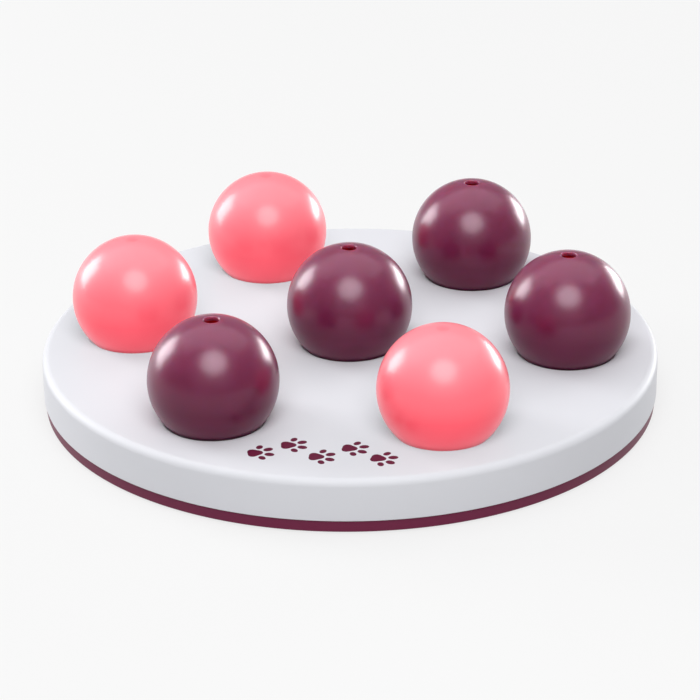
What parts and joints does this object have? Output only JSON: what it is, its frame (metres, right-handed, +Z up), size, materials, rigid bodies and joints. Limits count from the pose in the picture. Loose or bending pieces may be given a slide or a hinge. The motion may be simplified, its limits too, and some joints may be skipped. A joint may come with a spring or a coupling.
{
  "type": "cat puzzle board",
  "caption": "Round puzzle board for cats, with hollow lift-off balls standing in pockets over treat bowls, on a screwed base with rubber feet.",
  "frame": {"origin": "on the table, under the middle of the board", "axes": "+Z up; +X from the middle ball to the right-hand ball; -Y towards the front, between the two front balls"},
  "size_m": [0.29, 0.29, 0.0744],
  "materials": {
    "white_plastic": "white moulded plastic, satin",
    "burgundy_plastic": "burgundy moulded plastic, semi-gloss",
    "pink_plastic": "coral pink moulded plastic, semi-gloss",
    "foot_rubber": "dark grey non-slip rubber",
    "screw_steel": "zinc plated steel"
  },
  "bodies": {
    "board": {"board_shell": "white_plastic", "base_plate": "burgundy_plastic", "base_screws": "screw_steel", "foot_1": "foot_rubber", "foot_2": "foot_rubber", "foot_3": "foot_rubber", "foot_4": "foot_rubber", "foot_5": "foot_rubber", "foot_6": "foot_rubber"},
    "ball_middle": {"scent_ball_middle": "burgundy_plastic"},
    "ball_right": {"scent_ball_right": "burgundy_plastic"},
    "ball_back_right": {"scent_ball_back_right": "burgundy_plastic"},
    "ball_back_left": {"closed_ball_back_left": "pink_plastic"},
    "ball_left": {"closed_ball_left": "pink_plastic"},
    "ball_front_left": {"scent_ball_front_left": "burgundy_plastic"},
    "ball_front_right": {"closed_ball_front_right": "pink_plastic"}
  },
  "joints": [
    {"name": "lift_middle", "type": "slide", "parent": "board", "child": "ball_middle", "axis": [0, 0, 1], "range_m": [0, 0.06]},
    {"name": "lift_right", "type": "slide", "parent": "board", "child": "ball_right", "axis": [0, 0, 1], "range_m": [0, 0.06]},
    {"name": "lift_back_right", "type": "slide", "parent": "board", "child": "ball_back_right", "axis": [0, 0, 1], "range_m": [0, 0.06]},
    {"name": "lift_back_left", "type": "slide", "parent": "board", "child": "ball_back_left", "axis": [0, 0, 1], "range_m": [0, 0.06]},
    {"name": "lift_left", "type": "slide", "parent": "board", "child": "ball_left", "axis": [0, 0, 1], "range_m": [0, 0.06]},
    {"name": "lift_front_left", "type": "slide", "parent": "board", "child": "ball_front_left", "axis": [0, 0, 1], "range_m": [0, 0.06]},
    {"name": "lift_front_right", "type": "slide", "parent": "board", "child": "ball_front_right", "axis": [0, 0, 1], "range_m": [0, 0.06]}
  ]
}
